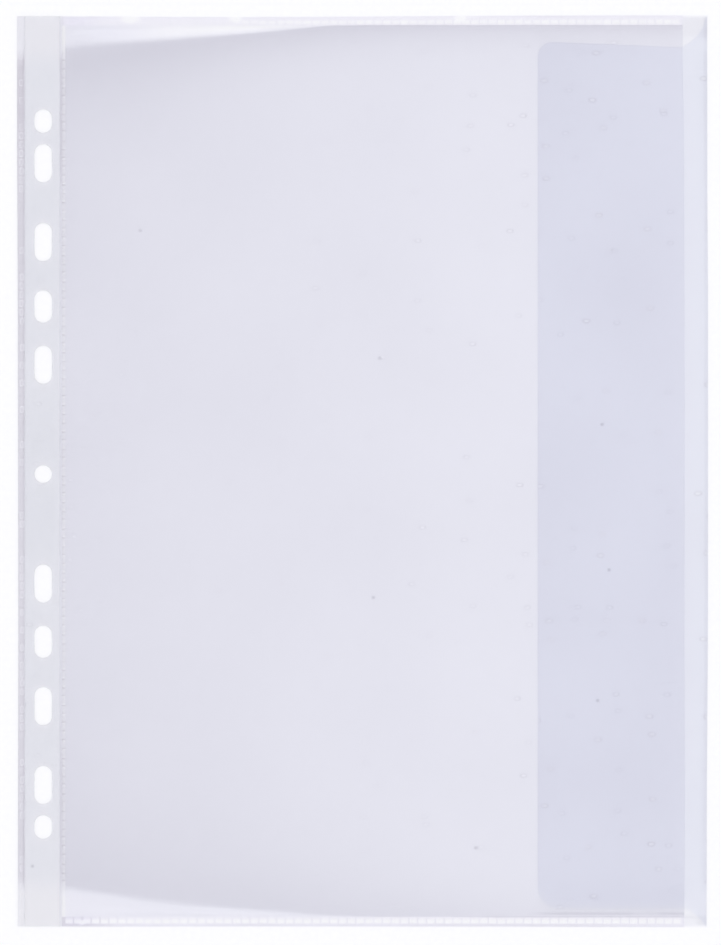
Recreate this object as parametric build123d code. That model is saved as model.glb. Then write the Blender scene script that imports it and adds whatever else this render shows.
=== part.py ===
from build123d import *
import os

# Clear film pocket for loose pages: a punched and reinforced binding margin on
# the left, films welded together along the spine, the top and the bottom, the
# mouth on the right, and a flap folded in at the mouth between the two films.
# The pocket lies on its back: +X runs from the margin to the mouth, +Y up the
# page, +Z out of the front. The origin is the centre of the back face.
# All dimensions are in millimetres.

os.makedirs("parts", exist_ok=True)

# ---- overall size and stack of layers --------------------------------------
POCKET_W = 235.0        # margin edge to flap fold
POCKET_H = 310.0        # top edge to bottom edge
FILM_T = 0.10           # one layer of film
LAYER_GAP = 0.16        # air between the folded-in flap and each film

HALF_W = POCKET_W / 2
HALF_H = POCKET_H / 2
BACK_Z0, BACK_Z1 = 0.0, FILM_T
FLAP_Z0 = BACK_Z1 + LAYER_GAP
FLAP_Z1 = FLAP_Z0 + FILM_T
FRONT_Z0 = FLAP_Z1 + LAYER_GAP
FRONT_Z1 = FRONT_Z0 + FILM_T

# ---- binding margin --------------------------------------------------------
FLEX_X = -102.55        # line where the page bends against the stiff margin
FLEX_Z = FRONT_Z1 / 2
FLEX_R = 0.30           # bead of bent film on that line
FLEX_ROOM = 0.36        # margin and page both stop this far from the line
STRIP_X0 = -114.85      # reinforcement strip, outer edge
STRIP_T = 0.25          # the strip lies loose between the films
STRIP_Z0 = (FRONT_Z1 - STRIP_T) / 2
STRIP_Z1 = STRIP_Z0 + STRIP_T
MARGIN_X1 = FLEX_X - FLEX_ROOM
PAGE_X0 = FLEX_X + FLEX_ROOM

# ---- punched holes for ring binders ----------------------------------------
HOLE_X = -108.60
HOLE_MID_Y = -1.0
HOLE_W = 6.0
# distance from the middle hole, length of the slot along the margin
HOLE_ROWS = [(37.2, 13.0), (57.0, 11.0), (78.9, 13.0), (105.7, 13.0), (120.0, 8.0)]

# ---- welds: rows of fused pads between the two films -------------------------
PAD_PITCH = 3.0
PAD_LEN = 2.2
OUTER_WELD_X = (-116.70, -115.30)
INNER_WELD_X = (PAGE_X0, -101.05)
TOP_WELD_Y = (151.70, 153.40)
BOTTOM_WELD_Y = (-153.55, -151.85)
END_WELD_X = (-100.9, 108.4)         # run of the top and bottom welds

# ---- mouth and front film ----------------------------------------------------
MOUTH_EDGE_X = 109.60   # free edge of the front film
LIFT_X = -10.0          # line from which the front film lifts
LIFT_Z = (FRONT_Z0 + FRONT_Z1) / 2
LEDGE_Y = 149.50        # welded ledges of the front film start here
MOUTH_Y = 149.30        # half height of the lifting panel
LIFT_ROOM = 0.06

# ---- flap --------------------------------------------------------------------
CREASE_R = (FLAP_Z1 - BACK_Z0) / 2   # outer radius of the folded film
CREASE_X = HALF_W - CREASE_R
CREASE_Z = CREASE_R
FLAP_EDGE_X = 59.50     # free edge of the flap
FLAP_TOP_Y0 = 145.90    # top edge of the flap at its free edge
FLAP_TOP_Y1 = 144.10    # top edge of the flap beside the fold
FLAP_BOTTOM_Y = -149.20
FLAP_R_TOP = 5.0        # rounded free corners
FLAP_R_BOTTOM = 7.0
FLARE_X = 109.20        # here the flap starts to widen to the full height
ROOT_X = CREASE_X - CREASE_R


def block(x0, x1, y0, y1, z0, z1):
    """Flat piece between two corners."""
    return Pos((x0 + x1) / 2, (y0 + y1) / 2, (z0 + z1) / 2) * Box(
        x1 - x0, y1 - y0, z1 - z0
    )


def punched(x0, x1, z0, z1):
    """Margin layer with the round middle hole and the slots above and below it."""
    with BuildPart() as layer:
        with BuildSketch(Plane.XY.offset(z0)):
            with Locations(((x0 + x1) / 2, 0)):
                Rectangle(x1 - x0, POCKET_H)
            with Locations((HOLE_X, HOLE_MID_Y)):
                Circle(HOLE_W / 2, mode=Mode.SUBTRACT)
            for away, long in HOLE_ROWS:
                with Locations(
                    (HOLE_X, HOLE_MID_Y + away), (HOLE_X, HOLE_MID_Y - away)
                ):
                    SlotOverall(long, HOLE_W, rotation=90, mode=Mode.SUBTRACT)
        extrude(amount=z1 - z0)
    return layer.part


def pads_along_y(x0, x1, y0, y1):
    """Row of weld pads up the page, between the films."""
    count = int((y1 - y0 - PAD_LEN) // PAD_PITCH) + 1
    first = (y0 + y1) / 2 - (count - 1) * PAD_PITCH / 2
    return [
        block(
            x0,
            x1,
            first + i * PAD_PITCH - PAD_LEN / 2,
            first + i * PAD_PITCH + PAD_LEN / 2,
            BACK_Z1,
            FRONT_Z0,
        )
        for i in range(count)
    ]


def pads_along_x(x0, x1, y0, y1):
    """Row of weld pads across the page, between the films."""
    count = int((x1 - x0 - PAD_LEN) // PAD_PITCH) + 1
    return [
        block(
            x0 + i * PAD_PITCH,
            x0 + i * PAD_PITCH + PAD_LEN,
            y0,
            y1,
            BACK_Z1,
            FRONT_Z0,
        )
        for i in range(count)
    ]


def rod_along_y(x, z, r):
    """Round bead of bent film over the full height."""
    return Pos(x, 0, z) * Rot(90, 0, 0) * Cylinder(r, POCKET_H)


pieces = {}

# ---- binding margin: two films with the stiff strip between them ---------------
pieces["margin_back_film"] = punched(-HALF_W, MARGIN_X1, BACK_Z0, BACK_Z1)
pieces["reinforcement_strip"] = punched(STRIP_X0, MARGIN_X1, STRIP_Z0, STRIP_Z1)
pieces["margin_front_film"] = punched(-HALF_W, MARGIN_X1, FRONT_Z0, FRONT_Z1)
pieces["spine_outer_weld"] = Compound(
    children=pads_along_y(*OUTER_WELD_X, -HALF_H + 0.4, HALF_H - 0.4)
)
pieces["spine_flex_line"] = rod_along_y(FLEX_X, FLEX_Z, FLEX_R)

# ---- page: back film, fixed part of the front film, welds, fold --------------
pieces["page_back_film"] = block(
    PAGE_X0, CREASE_X - CREASE_R, -HALF_H, HALF_H, BACK_Z0, BACK_Z1
)
front = block(PAGE_X0, MOUTH_EDGE_X, -HALF_H, HALF_H, FRONT_Z0, FRONT_Z1)
cut = block(
    LIFT_X - LIFT_ROOM,
    MOUTH_EDGE_X + 1,
    -LEDGE_Y,
    LEDGE_Y,
    FRONT_Z0 - 1,
    FRONT_Z1 + 1,
)
pieces["page_front_film"] = front - cut
pieces["spine_inner_weld"] = Compound(
    children=pads_along_y(*INNER_WELD_X, -HALF_H + 0.4, HALF_H - 0.4)
)
pieces["top_weld"] = Compound(children=pads_along_x(*END_WELD_X, *TOP_WELD_Y))
pieces["bottom_weld"] = Compound(children=pads_along_x(*END_WELD_X, *BOTTOM_WELD_Y))
pieces["flap_crease"] = rod_along_y(CREASE_X, CREASE_Z, CREASE_R)

# ---- lifting panel of the front film, rounded along the line it lifts from -----
half_t = FILM_T / 2
with BuildPart() as mouth:
    with BuildSketch(Plane.XZ):
        with BuildLine():
            Line((LIFT_X, FRONT_Z0), (MOUTH_EDGE_X, FRONT_Z0))
            Line((MOUTH_EDGE_X, FRONT_Z0), (MOUTH_EDGE_X, FRONT_Z1))
            Line((MOUTH_EDGE_X, FRONT_Z1), (LIFT_X, FRONT_Z1))
            ThreePointArc(
                (LIFT_X, FRONT_Z1), (LIFT_X - half_t, LIFT_Z), (LIFT_X, FRONT_Z0)
            )
        make_face()
    extrude(amount=MOUTH_Y, both=True)
pieces["front_mouth"] = mouth.part

# ---- flap, widening to the full height at the fold ----------------------------
k = 0.70710678
with BuildPart() as flap:
    with BuildSketch(Plane.XY.offset(FLAP_Z0)):
        with BuildLine():
            a = (FLAP_EDGE_X, FLAP_TOP_Y0 - FLAP_R_TOP)
            b = (FLAP_EDGE_X + FLAP_R_TOP, FLAP_TOP_Y0)
            c = (FLARE_X, FLAP_TOP_Y1)
            d = (ROOT_X, HALF_H)
            e = (ROOT_X, -HALF_H)
            f = (FLARE_X, FLAP_BOTTOM_Y)
            g = (FLAP_EDGE_X + FLAP_R_BOTTOM, FLAP_BOTTOM_Y)
            h = (FLAP_EDGE_X, FLAP_BOTTOM_Y + FLAP_R_BOTTOM)
            ThreePointArc(
                a,
                (
                    FLAP_EDGE_X + FLAP_R_TOP * (1 - k),
                    FLAP_TOP_Y0 - FLAP_R_TOP * (1 - k),
                ),
                b,
            )
            Line(b, c)
            ThreePointArc(c, ((c[0] + d[0]) / 2 + 1.2, (c[1] + d[1]) / 2 - 1.2), d)
            Line(d, e)
            ThreePointArc(e, ((e[0] + f[0]) / 2 + 0.9, (e[1] + f[1]) / 2 + 0.9), f)
            Line(f, g)
            ThreePointArc(
                g,
                (
                    FLAP_EDGE_X + FLAP_R_BOTTOM * (1 - k),
                    FLAP_BOTTOM_Y + FLAP_R_BOTTOM * (1 - k),
                ),
                h,
            )
            Line(h, a)
        make_face()
    extrude(amount=FILM_T)
pieces["flap_leaf"] = flap.part

for name, shape in pieces.items():
    export_step(shape, f"parts/{name}.step")
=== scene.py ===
import math

import bmesh
import bpy
import numpy as np
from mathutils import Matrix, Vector


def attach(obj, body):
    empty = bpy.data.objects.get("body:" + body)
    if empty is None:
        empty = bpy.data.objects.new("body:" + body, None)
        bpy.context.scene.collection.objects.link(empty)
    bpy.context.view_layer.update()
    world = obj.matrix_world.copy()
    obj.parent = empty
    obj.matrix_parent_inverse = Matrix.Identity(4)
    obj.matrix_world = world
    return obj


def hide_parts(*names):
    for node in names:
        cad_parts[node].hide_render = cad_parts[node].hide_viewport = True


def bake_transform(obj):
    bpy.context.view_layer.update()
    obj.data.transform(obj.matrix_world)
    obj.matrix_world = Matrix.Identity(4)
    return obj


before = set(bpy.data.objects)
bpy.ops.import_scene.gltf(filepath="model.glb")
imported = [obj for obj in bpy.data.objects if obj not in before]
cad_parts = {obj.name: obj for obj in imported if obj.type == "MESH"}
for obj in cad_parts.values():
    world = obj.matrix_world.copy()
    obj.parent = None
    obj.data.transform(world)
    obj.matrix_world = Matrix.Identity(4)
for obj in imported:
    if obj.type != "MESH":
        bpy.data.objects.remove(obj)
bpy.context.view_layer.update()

MM = 0.001
RNG = np.random.default_rng(11)

# ---------------------------------------------------------------------------
# Dimensions in millimetres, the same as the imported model's
# ---------------------------------------------------------------------------
HALF_W, HALF_H = 117.5, 155.0
BACK_Z0, BACK_Z1 = 0.0, 0.10
FLAP_Z0, FLAP_Z1 = 0.26, 0.36
FRONT_Z0, FRONT_Z1 = 0.52, 0.62
FILM_T = 0.10
MARGIN_X1, PAGE_X0 = -102.91, -102.19
STRIP_X0, STRIP_Z0, STRIP_Z1 = -114.85, 0.185, 0.435
HOLE_X, HOLE_MID_Y, HOLE_R = -108.6, -1.0, 3.0
HOLE_ROWS = [(37.2, 13.0), (57.0, 11.0), (78.9, 13.0), (105.7, 13.0), (120.0, 8.0)]
PAD_PITCH, PAD_LEN = 3.0, 2.2
OUTER_WELD_X = (-116.70, -115.30)
INNER_WELD_X = (PAGE_X0, -101.05)
TOP_WELD_Y = (151.70, 153.40)
BOTTOM_WELD_Y = (-153.55, -151.85)
END_WELD_X0, END_PADS = -100.9, 70
BAND_Y = 151.50          # the welded bands at top and bottom start here
BAND_X = -115.00         # the outer spine band ends here
BAND_Z0 = 0.125          # underside of the welded bands, on the back film
MOUTH_X = 109.60
LIFT_X = -10.0
CREASE_X, CREASE_Z, CREASE_R = 117.32, 0.18, 0.18
FLAP_EDGE_X = 59.5
FLAP_TOP_Y0, FLAP_TOP_Y1, FLAP_BOTTOM_Y = 145.9, 144.1, -149.2
FLAP_R_TOP, FLAP_R_BOTTOM = 5.0, 7.0
FLARE_X, ROOT_X = 109.2, 117.14
# painted highlights where the crimped top edge catches the light: x, y, half width, half height
TOP_EDGE_GLINTS = [(-79.0, 154.2, 3.2, 1.9), (-43.2, 154.2, 2.2, 1.4), (33.3, 154.2, 2.0, 1.3)]


# ---------------------------------------------------------------------------
# Small numeric helpers
# ---------------------------------------------------------------------------
def ease(a, b, t):
    """0 before a, 1 after b, smooth between."""
    u = np.clip((np.asarray(t, float) - a) / (b - a), 0.0, 1.0)
    return u * u * (3 - 2 * u)


def steps(*runs):
    """Rising positions: (start, stop, spacing) runs joined end to end."""
    out = []
    for a, b, d in runs:
        n = max(1, int(round((b - a) / d)))
        out.extend(np.linspace(a, b, n + 1)[:-1])
    out.append(runs[-1][1])
    return np.array(out)


def arc_height(p, q, m):
    """y of x on the circle through p, m and q, on m's side."""
    (x1, y1), (x2, y2), (x3, y3) = p, m, q
    d = 2 * (x1 * (y2 - y3) + x2 * (y3 - y1) + x3 * (y1 - y2))
    s1, s2, s3 = x1 * x1 + y1 * y1, x2 * x2 + y2 * y2, x3 * x3 + y3 * y3
    cx = (s1 * (y2 - y3) + s2 * (y3 - y1) + s3 * (y1 - y2)) / d
    cy = (s1 * (x3 - x2) + s2 * (x1 - x3) + s3 * (x2 - x1)) / d
    r = math.hypot(x1 - cx, y1 - cy)
    side = 1.0 if y2 > cy else -1.0
    return lambda x: cy + side * math.sqrt(max(r * r - (x - cx) ** 2, 0.0))


def lumps(x, y, waves):
    """Sum of long shallow waves, (amplitude, wavelength x, wavelength y, phase)."""
    z = np.zeros(np.broadcast(x, y).shape)
    for a, lx, ly, ph in waves:
        z = z + a * np.sin(2 * np.pi * (x / lx + y / ly) + ph)
    return z


# ---------------------------------------------------------------------------
# Mesh building: a sheet is two skins over one net of quads, with walls on its rim
# ---------------------------------------------------------------------------
def net(nu, nv):
    """Quads of an nu by nv grid of points, v fastest."""
    i, j = np.meshgrid(np.arange(nu - 1), np.arange(nv - 1), indexing="ij")
    a = (i * nv + j).ravel()
    return np.stack([a, a + nv, a + nv + 1, a + 1], 1)


def rim_edges(quads):
    """Directed edges that only one quad has."""
    seen = {}
    for q in quads.tolist():
        for k in range(4):
            a, b = q[k], q[(k + 1) % 4]
            seen[(a, b)] = True
    return [(a, b) for a, b in seen if (b, a) not in seen]


def sheet_piece(name, quads, top, bottom, marks, wall=()):
    """Closed thin piece from two skins. marks holds one value a net point for each
    attribute, and wall gives how far along, and how far out, extra wall rings stand."""
    quads = np.asarray(quads)
    top, bottom = lay(top), lay(bottom)
    n = len(top)
    verts = np.concatenate([top, bottom])
    faces = quads.tolist() + (quads[:, ::-1] + n).tolist()
    rim = rim_edges(quads)
    on_rim = sorted({v for e in rim for v in e})
    rings = [{v: v for v in on_rim}]
    source = list(range(n)) + list(range(n))
    if wall:
        out = {v: np.zeros(3) for v in on_rim}
        for a, b in rim:
            d = top[b] - top[a]
            up = top[a] - bottom[a]
            side = np.cross(d, up)
            side = side / max(np.linalg.norm(side), 1e-9)
            out[a] += side
            out[b] += side
        for share, reach in wall:
            ring = {}
            for v in on_rim:
                o = out[v] / max(np.linalg.norm(out[v]), 1e-9)
                p = top[v] * (1 - share) + bottom[v] * share + o * reach
                ring[v] = len(verts)
                verts = np.vstack([verts, p[None]])
                source.append(v)
            rings.append(ring)
    rings.append({v: v + n for v in on_rim})
    for upper, lower in zip(rings, rings[1:]):
        for a, b in rim:
            faces.append([upper[b], upper[a], lower[a], lower[b]])
    mesh = bpy.data.meshes.new(name)
    mesh.from_pydata((verts * MM).tolist(), [], faces)
    bm = bmesh.new()
    bm.from_mesh(mesh)
    bmesh.ops.recalc_face_normals(bm, faces=bm.faces)
    bm.to_mesh(mesh)
    bm.free()
    source = np.array(source)
    for key, values in marks.items():
        at = mesh.attributes.new(key, "FLOAT", "POINT")
        at.data.foreach_set("value", np.asarray(values, np.float32)[source])
    mesh.polygons.foreach_set("use_smooth", [True] * len(mesh.polygons))
    skin = [0] * len(quads) + [1] * len(quads) + [0] * (len(faces) - 2 * len(quads))
    mesh.polygons.foreach_set("material_index", skin)
    mesh.set_sharp_from_angle(angle=math.radians(48))
    mesh.update()
    obj = bpy.data.objects.new(name, mesh)
    bpy.context.scene.collection.objects.link(obj)
    return obj


def grid_xy(xs, ys):
    """Flat grid points and quads, counter-clockwise seen from the front."""
    x, y = np.meshgrid(xs, ys, indexing="ij")
    return x.ravel(), y.ravel(), net(len(xs), len(ys))


def stack(x, y, z):
    return np.stack([np.broadcast_to(v, x.shape) for v in (x, y, z)], 1).astype(float)


def trimmed(x, y):
    """The cut edges aren't quite straight: each side draws in by a few tenths."""
    left = np.interp(
        y, [-155, -112, -58, 0, 58, 109, 155], [0.22, 0.34, 0.43, 0.35, 0.25, 0.03, 0.0]
    )
    right = np.interp(
        y, [-155, -146, -112, -78, -50, 60, 92, 155], [0.5, 0.46, 0.42, 0.2, 0.0, 0.0, 0.22, 0.3]
    )
    mouth = np.interp(
        y, [-155, -144, -112, -60, 20, 85, 119, 140, 155], [0.3, 0.2, 0.05, 0.25, 0.15, 0.3, 0.45, 0.85, 0.8]
    )
    top = np.interp(
        x,
        [-117.5, -89, -55, -21, 13, 47, 81, 112, 117.5],
        [0.33, 0.42, 0.62, 0.58, 0.36, 0.17, 0.06, 0.04, 0.06],
    )
    bottom = np.interp(
        x,
        [-117.5, -89, -55, -21, 13, 47, 81, 106, 117.5],
        [0.26, 0.13, 0.18, 0.19, 0.17, 0.16, 0.05, 0.02, 0.0],
    )
    x_new = x + left * ease(BAND_X, -117.3, x) - right * ease(MOUTH_X, CREASE_X, x)
    x_new = x_new - mouth * ease(96.0, MOUTH_X, x) * ease(CREASE_X, MOUTH_X, x)
    y_new = y - top * ease(BAND_Y, 154.8, y) + bottom * ease(BAND_Y, 154.8, -y)
    return x_new, y_new


def lay(points):
    """Points of a piece, with the cut edges where they are trimmed."""
    points = np.array(points, float)
    points[:, 0], points[:, 1] = trimmed(points[:, 0].copy(), points[:, 1].copy())
    return points


# ---------------------------------------------------------------------------
# Where the front film stands up from the welds beside the stiff margin
# ---------------------------------------------------------------------------
def top_swell_y(x):
    """Crest of the swell under the top weld, falling towards the margin."""
    t = np.clip((x + 101.0) / 92.0, 0.0, 1.0)
    return 144.2 + 7.8 * t**0.95


def bottom_swell_y(x):
    t = np.clip((x + 101.0) / 115.0, 0.0, 1.0)
    return -142.3 - 9.7 * (1 - (1 - t) ** 1.8)


def front_lift(x, y):
    """How far the front film stands above its flat height."""
    held = ease(-101.05, -97.5, x) * ease(BAND_Y, BAND_Y - 3.5, np.abs(y))
    top, bottom = top_swell_y(x), bottom_swell_y(x)
    fade_t = 1 - ease(-60.0, -8.0, x)
    fade_b = 1 - ease(-50.0, 6.0, x)
    ridge_t = np.where(
        y > top,
        np.clip((BAND_Y - y) / np.maximum(BAND_Y - top, 0.4), 0, 1),
        np.exp(-(top - y) / 14.0),
    )
    ridge_b = np.where(
        y < bottom,
        np.clip((BAND_Y + y) / np.maximum(BAND_Y + bottom, 0.4), 0, 1),
        np.exp(-(y - bottom) / 14.0),
    )
    swell = 0.55 * (fade_t * ridge_t + fade_b * ridge_b)
    bow = 0.45 * ease(40.0, MOUTH_X, x) * (1 - (y / BAND_Y) ** 2)
    curl = 0.25 * ease(103.0, MOUTH_X, x) * (0.6 + 0.4 * np.cos(y / 31.0 + 0.6))
    pillow = 0.30 * (1 - (y / BAND_Y) ** 4) * ease(-101.0, -60.0, x)
    wave = lumps(
        x,
        y,
        [
            (0.07, 170.0, 96.0, 0.4),
            (0.05, -88.0, 140.0, 1.9),
            (0.035, 61.0, -73.0, 3.1),
            (0.02, 37.0, 52.0, 5.0),
        ],
    )
    return held * (swell + bow + curl + pillow * (1 + 2.6 * wave))


def front_painted_light(x, y):
    """Tone of the front film, darker towards the left, with painted shade in a band below the top and bottom
    welds and a painted highlight, cleared, on the raised wedges: (density, share of the highlighted wedge below
    the top weld)."""
    u = np.clip((57.0 - x) / 157.0, 0.0, 1.1)
    left = 0.045 + 0.30 * u + 0.06 * np.exp(-(x + 101.0) / 14.0)
    left = left - 0.03 * ease(10.0, 50.0, x) * ease(60.0, 58.5, x)
    top, bottom = top_swell_y(x), bottom_swell_y(x)
    s_t, s_b = np.maximum(top - y, 0), np.maximum(y - bottom, 0)
    at = [-101.0, -80.0, -65.0, -48.0, -28.0, -8.0, 13.0, 57.0]
    long_t = np.interp(x, at, [20.0, 17.0, 13.0, 10.0, 7.5, 6.0, 4.6, 4.4])
    long_b = np.interp(x, at, [24.0, 26.0, 26.0, 20.0, 17.0, 11.0, 8.5, 8.5])
    deep_b = np.interp(x, at, [0.52, 0.56, 0.52, 0.54, 0.56, 0.50, 0.48, 0.38])
    soft_t = np.interp(x, [-101.0, -28.0, -9.0], [2.3, 1.4, 0.3])
    soft_b = np.interp(x, [-101.0, -28.0, 13.0], [2.4, 1.6, 0.3])
    in_t = ease(-1.0, 1.0, (top - y) / soft_t)
    in_b = ease(-1.0, 1.0, (y - bottom) / soft_b)
    # painted shade: a band below the top and bottom welds, fading away from them
    dark = left + 0.90 * np.exp(-s_t / long_t) * in_t + deep_b * np.exp(-s_b / long_b) * in_b
    # painted highlight: the raised wedges between that shade and the welds are cleared
    lit = np.clip((1 - in_t) + (1 - in_b), 0, 1)
    clear = np.where(
        y > 0,
        0.10 - 1.45 * ease(-99.0, -52.0, x) - 0.5 * ease(-60.0, -45.0, x),
        -0.52 + 0.36 * ease(-88.0, -74.0, x) * ease(-44.0, -60.0, x),
    )
    return dark * (1 - lit) + clear * lit, 1 - in_t


# ---------------------------------------------------------------------------
# Pocket: front film, one sheet from the inner weld to the free edge of the mouth
# ---------------------------------------------------------------------------
def build_front_film():
    xs = steps(
        (INNER_WELD_X[1], -95.0, 0.8),
        (-95.0, -10.0, 1.9),
        (-10.0, 100.0, 2.2),
        (100.0, 108.8, 0.9),
        (108.8, MOUTH_X, 0.2),
    )
    half = steps((0.0, 90.0, 3.6), (90.0, 134.0, 2.0), (134.0, BAND_Y, 0.5))
    ys = np.concatenate([-half[:0:-1], half])
    x, y, quads = grid_xy(xs, ys)
    mid = 0.5 * (FRONT_Z0 + FRONT_Z1) + front_lift(x, y)
    density, _ = front_painted_light(x, y)
    # painted shadow: a thin dark line below the flap's bottom edge
    painted_foot_line = np.exp(-(((y + 150.35) / 0.32) ** 2)) * ease(56.0, 66.0, x)
    density = density + 0.95 * painted_foot_line * (1 - 0.6 * ease(89.0, 94.0, x) * ease(104.0, 99.0, x))
    obj = sheet_piece(
        "pocket_front_film",
        quads,
        stack(x, y, mid + FILM_T / 2),
        stack(x, y, mid - FILM_T / 2),
        {"film_density": density, "film_haze": np.zeros(len(x))},
    )
    return obj


def open_weights(obj):
    """Weights for how far the mouth would bow open: nothing at the welds, and most half way up. They are worked
    out but not kept.
    """
    co = np.zeros(len(obj.data.vertices) * 3)
    obj.data.vertices.foreach_get("co", co)
    co = co.reshape(-1, 3) / MM
    across = np.clip(np.abs(co[:, 1]) / BAND_Y, 0, 1)
    w = ease(LIFT_X, 62.0, co[:, 0]) * (1 - across**2.4) ** 1.1
    w[co[:, 0] <= LIFT_X] = 0.0


# ---------------------------------------------------------------------------
# Pocket: back film, fold and flap, one folded sheet
# ---------------------------------------------------------------------------
def flap_limits():
    """Lowest and highest y of the flap at each x."""
    c, d = (FLARE_X, FLAP_TOP_Y1), (ROOT_X, HALF_H)
    e, f = (ROOT_X, -HALF_H), (FLARE_X, FLAP_BOTTOM_Y)
    up = arc_height(c, d, ((c[0] + d[0]) / 2 + 1.2, (c[1] + d[1]) / 2 - 1.2))
    down = arc_height(e, f, ((e[0] + f[0]) / 2 + 0.9, (e[1] + f[1]) / 2 + 0.9))

    def high(x):
        if x >= ROOT_X:
            return HALF_H
        if x >= FLARE_X:
            return min(up(x), HALF_H)
        if x >= FLAP_EDGE_X + FLAP_R_TOP:
            t = (x - FLAP_EDGE_X - FLAP_R_TOP) / (FLARE_X - FLAP_EDGE_X - FLAP_R_TOP)
            return FLAP_TOP_Y0 + (FLAP_TOP_Y1 - FLAP_TOP_Y0) * t
        u = FLAP_EDGE_X + FLAP_R_TOP - x
        return FLAP_TOP_Y0 - FLAP_R_TOP + math.sqrt(max(FLAP_R_TOP**2 - u * u, 0))

    def low(x):
        if x >= ROOT_X:
            return -HALF_H
        if x >= FLARE_X:
            return max(down(x), -HALF_H)
        if x >= FLAP_EDGE_X + FLAP_R_BOTTOM:
            return FLAP_BOTTOM_Y
        u = FLAP_EDGE_X + FLAP_R_BOTTOM - x
        return FLAP_BOTTOM_Y + FLAP_R_BOTTOM - math.sqrt(
            max(FLAP_R_BOTTOM**2 - u * u, 0)
        )

    return low, high


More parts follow.
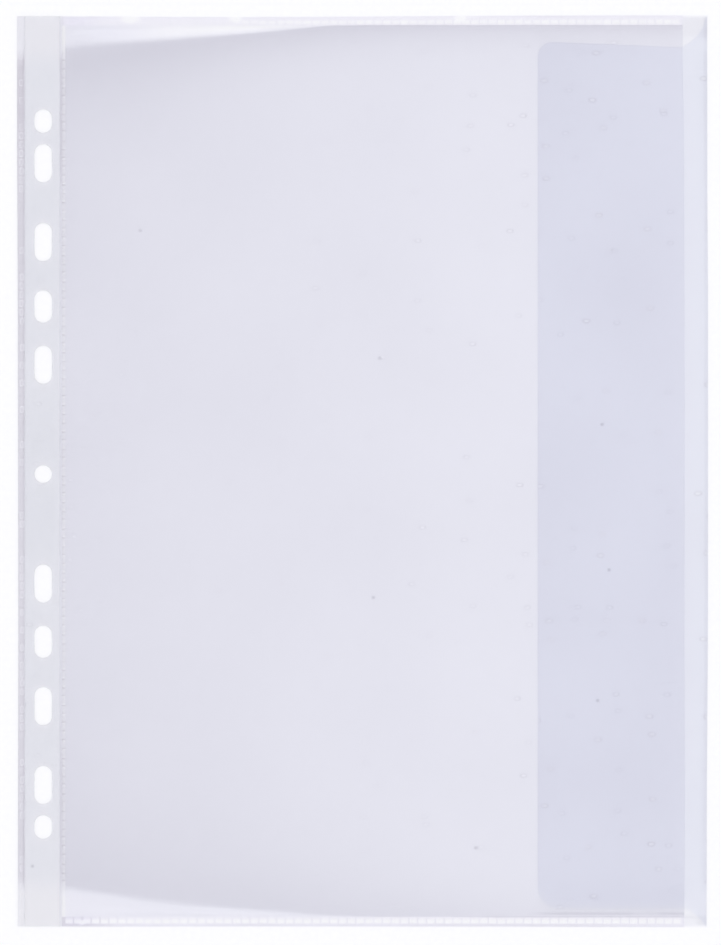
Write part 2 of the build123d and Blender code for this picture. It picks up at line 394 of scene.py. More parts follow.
def build_rear_film():
    low, high = flap_limits()
    path = []  # x, z of the middle of the film, its outward direction, flap share
    for x in steps((PAGE_X0, 0.0, 2.5), (0.0, 100.0, 5.0), (100.0, 115.8, 1.0), (115.8, CREASE_X, 0.3)):
        path.append((x, FILM_T / 2, 0.0, -1.0, 0.0))
    for a in np.linspace(-90, 90, 17)[1:-1]:
        cx, cz = math.cos(math.radians(a)), math.sin(math.radians(a))
        r = CREASE_R - FILM_T / 2
        path.append(
            (CREASE_X + r * cx, CREASE_Z + r * cz, cx, cz, float(ease(-90, 90, a)))
        )
    z = 0.5 * (FLAP_Z0 + FLAP_Z1)
    edge = FLAP_EDGE_X + FLAP_R_BOTTOM * (1 - np.cos(np.linspace(0, np.pi / 2, 13)))
    body = steps((FLAP_EDGE_X + FLAP_R_BOTTOM, 104.0, 3.2), (104.0, FLARE_X, 1.3))
    root = steps((FLARE_X, ROOT_X, 0.4), (ROOT_X, CREASE_X, 0.09))
    for x in np.concatenate([edge[:-1], body[:-1], root])[::-1]:
        path.append((x, z, 0.0, 1.0, 1.0))
    p = np.array(path)
    half = np.concatenate(
        [
            steps((0.0, 0.87, 0.0435), (0.87, 0.97, 0.005), (0.97, 0.997, 0.003)),
            [0.9985, 1.0],
        ]
    )
    v = (np.concatenate([-half[:0:-1], half]) + 1) / 2
    on_flap = p[:, 3] > 0.999
    lo = np.array([low(x) if f else -HALF_H for x, f in zip(p[:, 0], on_flap)])
    hi = np.array([high(x) if f else HALF_H for x, f in zip(p[:, 0], on_flap)])
    y = lo[:, None] + (hi - lo)[:, None] * v[None, :]
    shape = y.shape
    x = np.broadcast_to(p[:, 0:1], shape)
    z = np.broadcast_to(p[:, 1:2], shape).copy()
    leaf = np.broadcast_to(on_flap[:, None], shape)
    inner = ease(116.5, 105.0, x) * ease(1.0, 0.88, np.abs(2 * v[None, :] - 1))
    wave = lumps(x, y, [(0.05, 90.0, 120.0, 0.2), (0.03, -44.0, 61.0, 2.2)])
    z -= np.where(leaf, inner * (0.05 + 0.9 * wave), 0.0)
    nx = np.broadcast_to(p[:, 2:3], shape)
    nz = np.broadcast_to(p[:, 3:4], shape)
    out = np.stack([nx, np.zeros(shape), nz], -1).reshape(-1, 3) * FILM_T / 2
    mid = np.stack([x, y, z], -1).reshape(-1, 3)
    x, y, leaf = x.ravel(), y.ravel(), leaf.ravel()
    # painted highlight: the rear film is cleared under the front film's highlighted wedges
    _, lit = front_painted_light(x, y)
    lit = lit * ease(-88.0, -62.0, x)
    edge = ease(154.40, 154.70, np.abs(y))
    under = ease(151.2, 151.7, np.abs(y)) * ease(-99.0, -82.0, x)
    corner = np.where(
        y > 0,
        0.35 + 0.20 * ease(95.0, 140.0, y) + 0.55 * ease(145.0, 149.0, y),
        0.35 + 0.72 * ease(149.8, 152.0, -y) - 0.4 * ease(152.0, 152.6, -y) * ease(114.4, 113.4, x),
    )
    spine = np.where(y > 0, 1.0, 1.5) * ease(143.0, 147.0, np.abs(y)) * ease(-99.5, -101.0, x)
    page = np.where(x < MOUTH_X, -np.maximum(1.3 * lit, np.maximum(2.0 * under, spine)), corner)
    density = np.where(leaf, 0.06, np.maximum(page * (1 - edge) - 0.4 * edge - 0.8, -2.0))
    crease = ease(116.0, 116.45, x) * ease(-152.5, -146.0, y) * (1 - 0.5 * ease(-60.0, -110.0, y))
    density = density + 0.36 * crease * ~leaf
    warm = ease(112.5, 116.0, x) * (0.6 + 0.4 * ease(-60.0, -110.0, y))
    warm = np.maximum(warm, 0.5 * ease(109.4, 110.5, x) * ease(-80.0, -120.0, y))
    warm = warm * (1 - 0.9 * ease(139.0, 146.0, np.abs(y)))
    density = density + np.where(leaf, -0.05, 0.58) * warm
    # painted highlights: the rear film is cleared where the crimped top edge catches the light
    for glint in TOP_EDGE_GLINTS:
        spot = ease(1.3, 0.6, np.hypot((x - glint[0]) / (glint[2] + 1.2), (y - glint[1]) / glint[3]))
        density = np.where(leaf, density, density + (-2.2 - density) * spot)
    low_y = np.repeat(lo, shape[1])
    high_y = np.repeat(hi, shape[1])
    # painted highlight: a light line along the flap's bottom edge and a lighter zone above it
    painted_foot_line = leaf * ease(115.0, 110.0, x) * ease(0.95, 0.45, y - low_y)
    painted_foot_line = painted_foot_line + 0.35 * leaf * ease(115.0, 110.0, x) * ease(4.0, 0.6, y - low_y)
    density = density - 1.2 * painted_foot_line + 0.2 * leaf * ease(0.4, 0.2, high_y - y) * ease(115.0, 110.0, x)
    density = density + 0.10 * leaf * ease(61.2, 60.0, x)
    obj = sheet_piece(
        "pocket_rear_film",
        net(shape[0], shape[1]),
        mid + out,
        mid - out,
        {"film_density": density, "film_haze": np.zeros(len(x)), "turn": np.repeat(p[:, 4], shape[1])},
    )
    skin = np.zeros(len(obj.data.polygons), np.int32)
    obj.data.polygons.foreach_get("material_index", skin)
    on_leaf = np.zeros(len(obj.data.polygons), bool)
    for f in obj.data.polygons:
        on_leaf[f.index] = min(
            obj.data.attributes["turn"].data[v].value for v in f.vertices
        ) > 0.5
    obj.data.polygons.foreach_set("material_index", skin + 2 * on_leaf)
    along = np.hypot(np.diff(p[:, 0]), np.diff(p[:, 1]))
    area = float(np.sum(along * 0.5 * ((hi - lo)[1:] + (hi - lo)[:-1])))
    return obj, float(along.sum()), area


def fold_weights(obj):
    turn = np.zeros(len(obj.data.vertices), np.float32)
    obj.data.attributes["turn"].data.foreach_get("value", turn)


# ---------------------------------------------------------------------------
# Welded bands: fused film, pressed with a row of pads that have raised rims
# ---------------------------------------------------------------------------
def press(du, dv, lu, lv):
    """Signed distance to a rounded pad of half sizes lu by lv, negative inside."""
    r = 0.28
    qx, qy = np.abs(du) - (lu - r), np.abs(dv) - (lv - r)
    return (
        np.hypot(np.maximum(qx, 0), np.maximum(qy, 0))
        + np.minimum(np.maximum(qx, qy), 0)
        - r
    )


def pad_lines(first, count, pitch, long, lo, hi):
    """Grid positions along a row: close together on the pads' rims."""
    local = np.array([-0.40, -0.28, -0.14, 0.0, 0.10, 0.22, 0.36, 0.62])
    marks = [lo, hi]
    for i in range(count):
        a = first + i * pitch
        marks.extend(a + local)
        marks.append(a + long / 2)
        marks.extend(a + long - local[::-1])
    marks = np.array(sorted(m for m in marks if lo <= m <= hi))
    keep = [marks[0]]
    for m in marks[1:]:
        if m - keep[-1] > 0.045:
            keep.append(m)
    keep[-1] = hi
    wide = []
    for a, b in zip(keep, keep[1:]):
        wide.extend(np.linspace(a, b, max(1, int(math.ceil((b - a) / 2.0))) + 1)[:-1])
    return np.array(wide + [hi])


def pad_relief(u, v, first, count, pitch, long, v0, v1, strength, shift):
    """Pressed row: its height, rims, bowls and the distance outside its pads.
    u runs along the row, v across it."""
    k = np.clip(np.round((u - first - long / 2) / pitch), 0, count - 1).astype(int)
    du = u - (first + k * pitch + long / 2)
    dv = v - (v0 + v1) / 2 - shift[k]
    d = press(du, dv, long / 2, (v1 - v0) / 2)
    s = strength[k]
    ridge = np.exp(-(((d + 0.10) / 0.13) ** 2))
    bowl = ease(-0.20, -0.55, d)
    return s * (0.06 * ridge - 0.03 * bowl), s * ridge, s * bowl, d


def build_end_band(name, sign, weld_y, strength, shift, glints):
    """Welded band along the top (sign 1) or the bottom (sign -1), cleared at its glints, painted highlights
    where the crimped edge catches the light.
    """
    us = pad_lines(END_WELD_X0, END_PADS, PAD_PITCH, PAD_LEN, PAGE_X0, MOUTH_X)
    a, b = sorted(abs(w) for w in weld_y)
    vs = np.array(
        [BAND_Y, BAND_Y + 0.12]
        + [a + t for t in (-0.06, 0.05, 0.15, 0.27, 0.42, 0.62)]
        + [0.5 * (a + b)]
        + [b - t for t in (0.62, 0.42, 0.27, 0.15, 0.05, -0.06)]
        + [b + 0.2, 154.2, 154.55, 154.78, 154.93, HALF_H]
    )
    vs = np.array([v for i, v in enumerate(vs) if i == 0 or v - vs[i - 1] > 0.02])
    ys = sign * vs if sign > 0 else (sign * vs)[::-1]
    x, y, quads = grid_xy(us, ys)
    h, ridge, bowl, d = pad_relief(
        x, np.abs(y), END_WELD_X0, END_PADS, PAD_PITCH, PAD_LEN, a, b, strength, shift
    )
    across = np.abs(y)
    base = FRONT_Z1 - 0.16 * ease(BAND_Y, BAND_Y + 0.35, across)
    base = base - 0.16 * ease(154.5, HALF_H, across) ** 2
    run = ease(PAGE_X0 + 0.1, PAGE_X0 + 1.2, x)
    top = base + h
    crimp = 0.5 + 0.5 * np.sin(x / 5.3 + 1.3 * np.sin(x / 17.0))
    near = ease(-80.0, -96.0, x) * (0.45 if sign > 0 else 0.8)
    row = ease(a - 0.2, a, across) * ease(b + 0.2, b, across)
    pad = np.maximum(ridge, bowl)
    if sign > 0:
        pad = pad * (0.25 + 0.75 * ease(-50.0, -30.0, x))
    gap = ease(0.02, 0.3, d) * row * (0.25 if sign > 0 else 0.30)
    k = np.clip(np.round((x - END_WELD_X0 - PAD_LEN / 2) / PAD_PITCH), 0, END_PADS - 1).astype(int)
    du = x - (END_WELD_X0 + k * PAD_PITCH + PAD_LEN / 2)
    dv = across - 0.5 * (a + b) - (0.30 if sign > 0 else 0.45) - shift[k]
    core = ease(0.12, -0.22, press(du, dv, 1.22, 0.62)) * (0.4 + 0.6 * strength[k])
    if sign > 0:
        core = core * ease(-50.0, -30.0, x)
    density = (-0.32 if sign > 0 else -0.18) + gap - 0.10 * crimp + 0.7 * near
    density = density - 0.5 * pad - (1.5 if sign > 0 else 1.7) * core
    # painted shade: darker along the outer cut edge, at the border
    if sign > 0:
        rim = (0.22 + 0.22 * ease(40.0, 60.0, x)) * ease(153.9, 154.35, across)
    else:
        rim = (0.40 + 0.16 * ease(10.0, 40.0, x) - 0.20 * ease(80.0, 95.0, x)) * ease(153.65, 154.1, across)
    density = density + rim
    # painted highlights: cleared spots where the crimped edge catches the light
    for nx, ny, rx, ry in glints:
        spot = ease(1.25, 0.55, np.hypot((x - nx) / rx, (across - ny) / ry))
        density = density + (-2.2 - density) * spot
    # painted shade: a dark line along the band's inner edge, on its right part, where the film dips to the weld
    inner_edge_shade = ease(-14.0, 4.0, x) if sign > 0 else ease(20.0, 50.0, x)
    density = density + 1.15 * np.exp(-(((across - BAND_Y) / 0.25) ** 2)) * run * inner_edge_shade
    return sheet_piece(
        name,
        quads,
        stack(x, y, top),
        stack(x, y, BAND_Z0),
        {"film_density": density, "film_haze": np.zeros(len(x))},
    )


def build_inner_band(strength, shift):
    """Weld between the strip and the page, close beside the line that bends."""
    count = 103
    first = -(count - 1) * PAD_PITCH / 2 - PAD_LEN / 2
    us = pad_lines(first, count, PAD_PITCH, PAD_LEN, -BAND_Y, BAND_Y)
    x0, x1 = INNER_WELD_X
    vs = np.array([x0, x0 + 0.08, x0 + 0.2, x0 + 0.34, x0 + 0.57, x1 - 0.34, x1 - 0.2, x1 - 0.08, x1])
    x, y, quads = grid_xy(vs, us)
    h, ridge, bowl, d = pad_relief(
        y, x, first, count, PAD_PITCH, PAD_LEN, x0 + 0.05, x1 - 0.05, strength, shift
    )
    away = np.minimum(x - x0, x1 - x)
    top = FRONT_Z1 - 0.10 * ease(0.0, 0.25, away) + 0.6 * h * ease(0.0, 0.1, away)
    ends = ease(139.0, 145.0, np.abs(y))
    deep = ease(88.0, 112.0, np.abs(y)) * (1 - ends)
    k = np.clip(np.round((y - first + 0.4) / PAD_PITCH), 0, count - 1).astype(int)
    past = y - (first - 0.4 + k * PAD_PITCH)
    turned = np.where(shift[k] > 0, 1.0, -1.0)
    dash = np.exp(-(((past - 0.20 * turned) / 0.25) ** 2)) * ease(x0 - 0.1, x0 + 0.1, x)
    dot = np.exp(-(((past + 0.27 * turned) / 0.24) ** 2)) * np.exp(-(((x + 101.5) / 0.42) ** 2))
    mark = (0.45 + 0.55 * strength[k]) * (1 - 0.8 * ends)
    dot = dot * (1 - 0.6 * deep)
    density = 0.05 + mark * (0.90 * dash * (1 - dot) - 2.6 * dot * (1 - dash))
    density = density + np.where(y > 0, 0.16, 0.08) * deep - np.where(y > 0, 1.3, 2.1) * ends
    return sheet_piece(
        "inner_weld_band",
        quads,
        stack(x, y, top),
        stack(x, y, BAND_Z0),
        {"film_density": density, "film_haze": np.zeros(len(x))},
    )


def build_outer_band(strength, shift):
    """Weld along the outer edge of the margin."""
    count = 103
    first = -(count - 1) * PAD_PITCH / 2 - PAD_LEN / 2
    us = pad_lines(first, count, PAD_PITCH, PAD_LEN, -HALF_H, HALF_H)
    x0, x1 = OUTER_WELD_X
    vs = np.array(
        [-HALF_W, -117.43, -117.28, -117.05, -116.82, x0]
        + [x0 + t for t in (0.1, 0.22, 0.36, 0.7)]
        + [x1 - t for t in (0.36, 0.22, 0.1)]
        + [x1, x1 + 0.12, BAND_X]
    )
    x, y, quads = grid_xy(vs, us)
    h, ridge, bowl, d = pad_relief(
        y, x, first, count, PAD_PITCH, PAD_LEN, x0, x1, strength, shift
    )
    top = FRONT_Z1 - 0.16 * ease(BAND_X, BAND_X - 0.35, x)
    top = top - 0.16 * ease(-117.0, -HALF_W, x) ** 2 + h
    ends = ease(136.5, 144.5, np.abs(y))
    line = np.exp(-(((x + 115.20) / 0.34) ** 2))
    deep = ease(95.0, 132.0, np.abs(y)) * (1 - ends)
    upper = ease(-20.0, 60.0, y)
    density = 0.48 + (0.40 + 0.62 * deep) * line * (1 - 0.6 * ends) - np.where(y > 0, 0.68, 0.78) * ends
    density = density + (0.08 + 0.30 * deep) * upper + 0.12 * np.exp(-(((x + 116.75) / 0.22) ** 2))
    density = density + 0.3 * ease(-117.15, -117.4, x)
    bold = strength[np.clip(np.round((y - first - PAD_LEN / 2) / PAD_PITCH), 0, count - 1).astype(int)] > 0.72
    density = density + 0.10 * ease(0.02, 0.25, d) * ease(x0 - 0.3, x0, x)
    density = density - np.where(bold, 1.1, 0.25) * ridge
    return sheet_piece(
        "outer_weld_band",
        quads,
        stack(x, y, top),
        stack(x, y, BAND_Z0),
        {"film_density": density, "film_haze": np.zeros(len(x))},
    )


# ---------------------------------------------------------------------------
# Binding margin: punched layers, meshed in rings around every hole
# ---------------------------------------------------------------------------
def holes():
    """(y of the middle, half of the straight length) of every hole, rising."""
    out = [(HOLE_MID_Y, 0.0)]
    for away, long in HOLE_ROWS:
        out += [(HOLE_MID_Y + s * away, long / 2 - HOLE_R) for s in (1, -1)]
    return sorted(out)


def hole_distance(x, y):
    """Distance from the nearest hole's edge, and 0 to 1 for how far it lies at its ends."""
    best = np.full(np.shape(x), 1e9)
    end = np.zeros(np.shape(x))
    for cy, half in holes():
        over = np.maximum(np.abs(y - cy) - half, 0)
        d = np.hypot(x - HOLE_X, over) - HOLE_R
        end = np.where(d < best, over / np.maximum(np.hypot(x - HOLE_X, over), 1e-6), end)
        best = np.minimum(best, d)
    return best, end


def punched_net(x0, x1, rings=(0.0, 0.03, 0.08, 0.17, 0.32, 0.55, 0.78, 1.0)):
    """Points and quads of a margin layer with its holes."""
    nt, ns = 12, 14
    cols = np.linspace(x0, x1, nt + 1)
    found = holes()
    cuts = []
    for (ya, ha), (yb, hb) in zip(found, found[1:]):
        upper, lower = yb - hb - HOLE_R, ya + ha + HOLE_R
        if upper - lower > 12.0:
            cuts.append((lower + 5.0, upper - 5.0))
        else:
            cuts.append(((upper + lower) / 2,) * 2)
    first_y, last_y = found[0][0], found[-1][0]
    starts = [first_y - found[0][1] - HOLE_R - 5.0] + [c[1] for c in cuts]
    stops = [c[0] for c in cuts] + [last_y + found[-1][1] + HOLE_R + 5.0]
    pts, quads, index = [], [], {}

    def point(x, y):
        key = (round(x, 5), round(y, 5))
        if key not in index:
            index[key] = len(pts)
            pts.append((x, y))
        return index[key]

    def plain(ya, yb):
        rows = np.linspace(ya, yb, max(1, int(round((yb - ya) / 2.5))) + 1)
        for r0, r1 in zip(rows, rows[1:]):
            for c0, c1 in zip(cols, cols[1:]):
                quads.append([point(c0, r0), point(c1, r0), point(c1, r1), point(c0, r1)])

    plain(-HALF_H, starts[0])
    for i, (cy, half) in enumerate(found):
        ya, yb = starts[i], stops[i]
        if i and starts[i] - stops[i - 1] > 0.01:
            plain(stops[i - 1], starts[i])
        rows = np.linspace(ya, yb, ns + 1)
        outer, inner = [], []
        for k in range(nt):          # bottom side, left to right
            outer.append((cols[k], ya))
            a = math.radians(225 + 90 * k / nt)
            inner.append((HOLE_X + HOLE_R * math.cos(a), cy - half + HOLE_R * math.sin(a)))
        side = []
        reach = HOLE_R * math.sin(math.radians(45))
        bend = HOLE_R * math.pi / 4
        total = 2 * (half + bend)
        for k in range(ns):
            s = total * k / ns
            if s < bend:
                a = -math.pi / 4 + s / HOLE_R
                side.append((HOLE_R * math.cos(a), -half + HOLE_R * math.sin(a)))
            elif s < bend + 2 * half:
                side.append((HOLE_R, -half + s - bend))
            else:
                a = (s - bend - 2 * half) / HOLE_R
                side.append((HOLE_R * math.cos(a), half + HOLE_R * math.sin(a)))
        for k in range(ns):          # right side, upwards
            outer.append((cols[-1], rows[k]))
            inner.append((HOLE_X + side[k][0], cy + side[k][1]))
        for k in range(nt):          # top side, right to left
            outer.append((cols[nt - k], yb))
            a = math.radians(45 + 90 * k / nt)
            inner.append((HOLE_X + HOLE_R * math.cos(a), cy + half + HOLE_R * math.sin(a)))
        for k in range(ns):          # left side, downwards
            outer.append((cols[0], rows[ns - k]))
            inner.append((HOLE_X - side[k][0], cy - side[k][1]))
        n = len(outer)
        loops = []
        for t in rings:
            loops.append(
                [
                    point(
                        inner[k][0] + (outer[k][0] - inner[k][0]) * t,
                        inner[k][1] + (outer[k][1] - inner[k][1]) * t,
                    )
                    for k in range(n)
                ]
            )
        for a, b in zip(loops, loops[1:]):
            for k in range(n):
                m = (k + 1) % n
                quads.append([a[k], b[k], b[m], a[m]])
    plain(stops[-1], HALF_H)
    return np.array(pts), np.array(quads)


def margin_tone(x, y):
    ends = ease(136.0, 145.0, np.abs(y))
    near, end = hole_distance(x, y)
    glow = np.exp(-np.maximum(near, 0) / 1.6) * (0.35 + 0.65 * end**2)
    return ends, glow


def build_margin_front():
    pts, quads = punched_net(BAND_X, MARGIN_X1)
    x, y = pts[:, 0], pts[:, 1]
    near, _ = hole_distance(x, y)
    ends, glow = margin_tone(x, y)
    rim = 0.07 * np.exp(-((np.maximum(near, 0) / 0.45) ** 2))
    swell = 0.05 * np.sin((y + 20) / 23.0) * np.sin((x - BAND_X) / (MARGIN_X1 - BAND_X) * np.pi)
    top = FRONT_Z1 + rim + np.maximum(swell, -0.02)
    density = 0.02 - np.where(y > 0, 0.5, 0.75) * ends - 0.45 * glow + 0.3 * ease(0.30, 0.1, np.maximum(near, 0))
    density = density - 0.45 * ease(-104.4, -103.2, x) * (1 - ends)
    density = density - 0.32 * ease(-85.0, -115.0, y) * (1 - ends) + 0.05 * ease(70.0, 40.0, np.abs(y))
    density = density + np.where(y > 0, 0.5, 0.15) * ease(154.5, 154.8, np.abs(y))
    return sheet_piece(
        "margin_front_sheet",
        quads,
        stack(x, y, top),
        stack(x, y, top - FILM_T),
        {"film_density": density, "film_haze": np.zeros(len(x))},
    )


def build_margin_back():
    pts, quads = punched_net(-HALF_W, MARGIN_X1)
    x, y = pts[:, 0], pts[:, 1]
    ends, _ = margin_tone(x, y)
    return sheet_piece(
        "margin_back_sheet",
        quads,
        stack(x, y, BACK_Z1),
        stack(x, y, BACK_Z0),
        {"film_density": -0.8 + np.where(y > 0, -0.2, -0.5) * ends, "film_haze": np.zeros(len(x))},
    )


def build_strip():
    pts, quads = punched_net(STRIP_X0, MARGIN_X1)
    x, y = pts[:, 0], pts[:, 1]
    ends, glow = margin_tone(x, y)
    return sheet_piece(
        "margin_strip",
        quads,
        stack(x, y, STRIP_Z1),
        stack(x, y, STRIP_Z0),
        {"film_density": -0.9 * np.maximum(ends, glow), "film_haze": 0.06 * glow},
        wall=((0.25, 0.03), (0.75, 0.03)),
    )


def build_flex_web():
    """Pinched film between the stiff margin and the page, where the page bends."""
    ys = np.linspace(-HALF_H, HALF_H, 63)
    xs = np.linspace(MARGIN_X1, PAGE_X0, 9)
    x, y, quads = grid_xy(xs, ys)
    t = (x - MARGIN_X1) / (PAGE_X0 - MARGIN_X1)
    pinch = 0.12 * np.sin(np.pi * t) ** 2
    ends = ease(139.0, 145.0, np.abs(y))
    tone = 0.03 + np.where(y > 0, 0.34 * ease(88.0, 108.0, y), 0.18 * ease(70.0, 110.0, -y)) * (1 - ends)
    tone = tone - np.where(y > 0, 0.35, 0.60) * ends
    return sheet_piece(
        "flex_web",
        quads,
        stack(x, y, FRONT_Z1 - pinch),
        stack(x, y, BACK_Z0 + 0.5 * pinch),
        {"film_density": tone, "film_haze": np.zeros(len(x))},
    )


# ---------------------------------------------------------------------------
# Materials
# ---------------------------------------------------------------------------
class Nodes:
    def __init__(self, material):
        material.use_nodes = True
        self.tree = material.node_tree
        self.tree.nodes.clear()

    def add(self, kind, link=None, **values):
        n = self.tree.nodes.new("ShaderNode" + kind)
        for key, value in values.items():
            if key in n.inputs:
                n.inputs[key].default_value = value
            else:
                setattr(n, key, value)
        for key, source in (link or {}).items():
            self.tree.links.new(source, n.inputs[key])
        return n

    def math(self, operation, a, b=None, clamp=False):
        n = self.tree.nodes.new("ShaderNodeMath")
        n.operation, n.use_clamp = operation, clamp
        for i, v in enumerate((a, b)):
            if v is None:
                continue
            if isinstance(v, (int, float)):
                n.inputs[i].default_value = v
            else:
                self.tree.links.new(v, n.inputs[i])
        return n.outputs[0]

    def ramp(self, source, *stops):
        n = self.tree.nodes.new("ShaderNodeValToRGB")
        e = n.color_ramp.elements
        while len(e) > len(stops):
            e.remove(e[-1])
        while len(e) < len(stops):
            e.new(0.5)
        for item, (pos, colour) in zip(e, stops):
            item.position = pos
            item.color = (*colour, 1.0) if len(colour) == 3 else colour
        self.tree.links.new(source, n.inputs[0])
        return n.outputs[0]

    def attribute(self, name):
        n = self.tree.nodes.new("ShaderNodeAttribute")
        n.attribute_name = name
        return n.outputs["Fac"]

    def dots(self, vector, scale, share, *stops):
        """Small scattered marks, one in a cell, in a share of the cells, some stronger."""
        at = self.add("Mapping", {"Vector": vector}, Scale=(*scale, 1.0))
        cells = self.add("TexVoronoi", {"Vector": at.outputs[0]}, voronoi_dimensions="2D", Scale=1.0)
        pick = self.add("SeparateColor", {0: cells.outputs["Color"]}).outputs[0]
        shape = self.math("SUBTRACT", self.ramp(cells.outputs["Distance"], *stops), 0.5)
        strength = self.math("SUBTRACT", 1.6, self.math("DIVIDE", pick, share), clamp=True)
        strength = self.math("MULTIPLY", strength, self.math("LESS_THAN", pick, share))
        return self.math("MULTIPLY", shape, strength)

    def noise(self, vector, scale, detail=2.0, rough=0.5):
        n = self.tree.nodes.new("ShaderNodeTexNoise")
        n.inputs["Scale"].default_value = scale
        n.inputs["Detail"].default_value = detail
        n.inputs["Roughness"].default_value = rough
        self.tree.links.new(vector, n.inputs["Vector"])
        return n.outputs["Fac"]


def clear_through(t, place, tints, marks=None):
    """What is behind shows through, tinted by how dense the film looks: -2 for quite
    clear, 0 for the plain film and 1 for the darkest."""
    drift = t.noise(place, 24.0, 0.0, 0.5)
    density = t.math(
        "ADD", t.attribute("film_density"), t.math("MULTIPLY", t.math("SUBTRACT", drift, 0.5), 0.16)
    )
    if marks is not None:
        density = t.math("ADD", density, marks)
    level = t.math("ADD", t.math("MULTIPLY", density, 1 / 3), 2 / 3, clamp=True)
    stops = [(i / 3, colour) for i, colour in enumerate(((1.0, 1.0, 1.0), *tints))]
    return t.add("BsdfTransparent", {"Color": t.ramp(level, *stops)}).outputs[0]


def slanted(t, facing, rest):
    """Mirror share that grows at glancing angles."""
    slant = t.add("LayerWeight", Blend=0.5).outputs["Facing"]
    return t.math("ADD", t.math("MULTIPLY", t.math("POWER", slant, 5.0), rest), facing)


def finish_with(t, shader):
    out = t.add("OutputMaterial")
    t.tree.links.new(shader, out.inputs["Surface"])


def scattered(t, place, marks, dents, dust):
    """Adds scattered dimples, light in the middle with a darker rim, and a few dark
    specks. Both skins carry them at the same places."""
    if dents:
        rings = t.dots(
            place, dents, 0.45,
            (0.0, (0.2, 0.2, 0.2)), (0.036, (0.2, 0.2, 0.2)), (0.050, (0.7, 0.7, 0.7)),
            (0.064, (0.7, 0.7, 0.7)), (0.092, (0.5, 0.5, 0.5)),
        )
        dense = t.math("MULTIPLY", t.attribute("film_density"), 1.8)
        rings = t.math("MULTIPLY", rings, t.math("SUBTRACT", 1.0, dense, clamp=True))
        rings = t.math("MULTIPLY", rings, 3.3)
        marks = rings if marks is None else t.math("ADD", marks, rings)
    if dust:
        dark = t.dots(
            place, (26.0, 30.0), 0.20, (0.0, (1, 1, 1)), (0.011, (1, 1, 1)), (0.019, (0.5, 0.5, 0.5))
        )
        dark = t.math("MULTIPLY", dark, dust)
        marks = dark if marks is None else t.math("ADD", marks, dark)
    return marks


def film_skins(
    name, tints, haze_colour, facing, gloss_rough, grain, scuff, rest=0.986, dents=None, dust=0.0
):
    """Clear film. The outer skin has a gloss that grows at glancing angles, a little
    milkiness, embossed grain and fine scuffs; the inner skin only lets light through.
    facing is the mirror share seen square on, and rest what glancing angles add."""
    outer = bpy.data.materials.new(name)
    t = Nodes(outer)
    place = t.add("TexCoord").outputs["Object"]
    # short marks of the embossing, mostly along the page's width: some light, some dark
    along = t.add("Mapping", {"Vector": place}, Scale=(330.0, 1300.0, 900.0))
    scuffs = t.ramp(
        t.noise(along.outputs[0], 1.0, 0.0, 0.5),
        (0.17, (1, 1, 1)), (0.26, (0.5, 0.5, 0.5)), (0.74, (0.5, 0.5, 0.5)), (0.83, (0, 0, 0)),
    )
    marks = t.math("MULTIPLY", t.math("SUBTRACT", scuffs, 0.5), scuff)
    marks = scattered(t, place, marks, dents, dust)
    through = clear_through(t, place, tints, marks)
    fine = t.noise(place, 1500.0, 0.0, 0.5)
    milk = t.math("ADD", t.attribute("film_haze"), t.math("MULTIPLY", fine, grain), clamp=True)
    body = t.add("BsdfDiffuse", Color=(*haze_colour, 1.0), Roughness=0.3)
    clear_mix = t.add("MixShader", {0: milk, 1: through, 2: body.outputs[0]})
    rough = t.math("ADD", t.math("MULTIPLY", fine, 0.14), gloss_rough)
    gloss = t.add("BsdfGlossy", {"Roughness": rough}, Color=(1.0, 1.0, 1.0, 1.0))
    mix = t.add(
        "MixShader",
        {0: slanted(t, facing, rest), 1: clear_mix.outputs[0], 2: gloss.outputs[0]},
    )
    finish_with(t, mix.outputs[0])
    inner = bpy.data.materials.new(name + "_inside")
    t = Nodes(inner)
    place = t.add("TexCoord").outputs["Object"]
    finish_with(t, clear_through(t, place, tints, scattered(t, place, None, dents, dust)))
    return outer, inner


def strip_skins():
    """Milky, satin strip: most light passes, softened."""
    tints = (1.0, 1.0, 0.993), (0.9948, 0.9976, 0.9922), (0.955, 0.953, 0.955)
    outer = bpy.data.materials.new("strip_milky")
    t = Nodes(outer)
    place = t.add("TexCoord").outputs["Object"]
    through = clear_through(t, place, tints)
    cloud = t.noise(place, 60.0, 1.0, 0.5)
    fine = t.noise(place, 1800.0, 0.0, 0.5)
    milk = t.math("ADD", t.attribute("film_haze"), t.math("MULTIPLY", cloud, 0.07))
    milk = t.math("ADD", milk, t.math("MULTIPLY", fine, 0.03))
    milk = t.math("ADD", milk, 0.02, clamp=True)
    tone = t.ramp(cloud, (0.25, (0.90, 0.90, 0.915)), (0.75, (0.94, 0.94, 0.95)))
    body = t.add("BsdfDiffuse", {"Color": tone}, Roughness=0.5)
    clear_mix = t.add("MixShader", {0: milk, 1: through, 2: body.outputs[0]})
    rough = t.math("ADD", t.math("MULTIPLY", fine, 0.2), 0.32)
    gloss = t.add("BsdfGlossy", {"Roughness": rough}, Color=(1.0, 1.0, 1.0, 1.0))
    mix = t.add(
        "MixShader", {0: slanted(t, 0.015, 0.6), 1: clear_mix.outputs[0], 2: gloss.outputs[0]}
    )
    finish_with(t, mix.outputs[0])
    inner = bpy.data.materials.new("strip_milky_inside")
    t = Nodes(inner)
    place = t.add("TexCoord").outputs["Object"]
    finish_with(t, clear_through(t, place, tints))
    return outer, inner


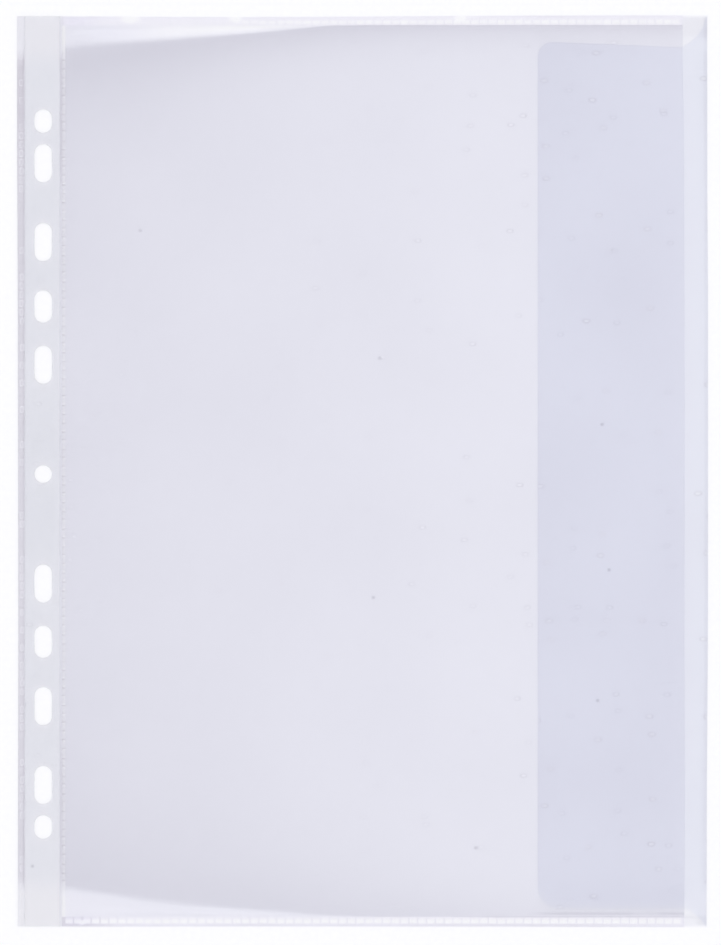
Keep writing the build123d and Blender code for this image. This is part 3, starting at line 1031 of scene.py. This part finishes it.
PLAIN = dict(haze_colour=(0.92, 0.925, 0.97), facing=0.014, gloss_rough=0.05, grain=0.010)
CLEAR = (0.9915, 0.9903, 0.9980), (0.9785, 0.9791, 0.9886), (0.9278, 0.9265, 0.9412)
FILM = film_skins(
    "clear_film_grained", CLEAR, scuff=0.70, dents=(60.0, 100.0), dust=9.0, **PLAIN
)
BACK = film_skins("clear_film_back", CLEAR, scuff=0.70, **PLAIN)
LEAF = film_skins(
    "clear_film_flap",
    ((0.9950, 0.9975, 0.9995), (0.9827, 0.9866, 0.9975), (0.9375, 0.9340, 0.9490)),
    scuff=0.70,
    dents=(53.0, 91.0),
    **PLAIN,
)
WELD = film_skins(
    "weld_pressed",
    ((0.9915, 0.9910, 0.9900), (0.9746, 0.9742, 0.9790), (0.9171, 0.9098, 0.9220)),
    haze_colour=(0.965, 0.962, 1.0),
    facing=0.016,
    gloss_rough=0.08,
    grain=0.01,
    scuff=0.30,
)
BAND = film_skins(
    "weld_pressed_end",
    ((0.9940, 0.9915, 0.9990), (0.9770, 0.9745, 0.9895), (0.9190, 0.9110, 0.9320)),
    haze_colour=(0.965, 0.962, 1.0),
    facing=0.008,
    gloss_rough=0.08,
    grain=0.005,
    scuff=0.20,
    rest=0.2,
)
WEB = film_skins(
    "film_pinched",
    ((0.9800, 0.9790, 0.9900), (0.9586, 0.9586, 0.9767), (0.8725, 0.8590, 0.8853)),
    scuff=0.10,
    **PLAIN,
)
STRIP = strip_skins()


def dress(obj, skins):
    """Give the piece its outer and inner skin; the walls wear the outer one."""
    index = np.zeros(len(obj.data.polygons), np.int32)
    obj.data.polygons.foreach_get("material_index", index)
    obj.data.materials.clear()
    for material in skins:
        obj.data.materials.append(material)
    obj.data.polygons.foreach_set("material_index", index)
    return obj


# ---------------------------------------------------------------------------
# Build and ride
# ---------------------------------------------------------------------------
front = dress(build_front_film(), FILM)
rear, rear_long, rear_area = build_rear_film()
dress(rear, BACK + LEAF)

top_band = dress(
    build_end_band(
        "top_weld_band", 1, TOP_WELD_Y,
        RNG.uniform(0.25, 1.0, END_PADS), RNG.normal(0, 0.05, END_PADS),
        TOP_EDGE_GLINTS,
    ),
    BAND,
)
bottom_band = dress(
    build_end_band(
        "bottom_weld_band", -1, BOTTOM_WELD_Y,
        RNG.uniform(0.75, 1.0, END_PADS), RNG.normal(0, 0.03, END_PADS),
        [(-95.4, 153.6, 1.2, 0.7)],
    ),
    BAND,
)
inner_band = dress(
    build_inner_band(RNG.uniform(0.3, 1.0, 103), RNG.normal(0, 0.02, 103)), WELD
)
outer_band = dress(
    build_outer_band(RNG.uniform(0.35, 1.0, 103), RNG.normal(0, 0.04, 103)), WELD
)
margin_front = dress(build_margin_front(), FILM)
margin_back = dress(build_margin_back(), BACK)
strip = dress(build_strip(), STRIP)
web = dress(build_flex_web(), WEB)

for obj in (outer_band, margin_front, margin_back, strip):
    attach(obj, "margin")
for obj in (top_band, bottom_band, inner_band):
    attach(obj, "page")

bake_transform(front)
open_weights(front)
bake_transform(rear)
fold_weights(rear)
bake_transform(web)

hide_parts("page_front_film", "front_mouth")
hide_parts("page_back_film", "flap_crease", "flap_leaf")
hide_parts("top_weld")
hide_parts("bottom_weld")
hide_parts("spine_inner_weld")
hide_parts("spine_outer_weld")
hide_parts("margin_front_film")
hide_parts("margin_back_film")
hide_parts("reinforcement_strip")
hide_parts("spine_flex_line")

# ---------------------------------------------------------------------------
# Stage, light and camera
# ---------------------------------------------------------------------------
scene = bpy.context.scene
floor_mesh = bpy.data.meshes.new("stage_floor")
S = 9.0
floor_mesh.from_pydata(
    [(-S, -S, -0.00006), (S, -S, -0.00006), (S, S, -0.00006), (-S, S, -0.00006)],
    [],
    [(0, 1, 2, 3)],
)
floor = bpy.data.objects.new("stage_floor", floor_mesh)
scene.collection.objects.link(floor)
floor_mat = bpy.data.materials.new("stage_paper")
t = Nodes(floor_mat)
fibre = t.noise(t.add("TexCoord").outputs["Object"], 600.0, 4.0, 0.6)
paper = t.add(
    "BsdfDiffuse",
    {"Color": t.ramp(fibre, (0.3, (0.90, 0.90, 0.90)), (0.7, (0.92, 0.92, 0.92)))},
    Roughness=0.4,
)
out = t.add("OutputMaterial")
t.tree.links.new(paper.outputs[0], out.inputs["Surface"])
floor_mesh.materials.append(floor_mat)

world = bpy.data.worlds.new("studio")
scene.world = world
t = Nodes(world)
# a soft dome, bright overhead and dim low down, with a gap straight above for the camera
up = t.add("SeparateXYZ", {0: t.add("TexCoord").outputs["Generated"]}).outputs["Z"]
sky = t.ramp(
    up,
    (0.0, (0.40, 0.40, 0.415)),
    (0.40, (0.40, 0.40, 0.415)),
    (0.66, (1.0, 1.0, 1.035)),
    (0.945, (1.0, 1.0, 1.035)),
    (0.970, (0.30, 0.30, 0.33)),
    (1.0, (0.30, 0.30, 0.33)),
)
back = t.add("Background", {"Color": sky}, Strength=1.223)
out = t.add("OutputWorld")
t.tree.links.new(back.outputs[0], out.inputs["Surface"])


def softbox(name, spot, size_x, size_y, radiance):
    """Soft panel that faces the middle of the pocket."""
    data = bpy.data.lights.new(name, "AREA")
    data.shape = "RECTANGLE"
    data.size, data.size_y = size_x, size_y
    data.energy = radiance * math.pi * size_x * size_y
    obj = bpy.data.objects.new(name, data)
    obj.location = spot
    obj.rotation_mode = "QUATERNION"
    obj.rotation_quaternion = Vector(spot).to_track_quat("Z", "Y")
    scene.collection.objects.link(obj)
    return obj


softbox("softbox_key", (-0.45, 1.80, 3.00), 2.2, 1.4, 1.6)
softbox("softbox_fill", (0.45, -1.80, 3.00), 2.2, 1.4, 1.0)

camera_data = bpy.data.cameras.new("camera")
camera = bpy.data.objects.new("camera", camera_data)
scene.collection.objects.link(camera)
scene.camera = camera
DISTANCE, FRAME_H = 1.25, 0.3214
camera_data.sensor_width = 36.0
camera_data.lens = 36.0 * DISTANCE / FRAME_H
camera_data.clip_start, camera_data.clip_end = 0.05, 40.0
camera.location = (-0.000714, -0.000458, DISTANCE)

scene.view_settings.view_transform = "Standard"
scene.cycles.transparent_max_bounces = 96
scene.cycles.max_bounces = 5
scene.cycles.diffuse_bounces = 2
scene.cycles.glossy_bounces = 3
scene.cycles.caustics_reflective = False
scene.cycles.caustics_refractive = False
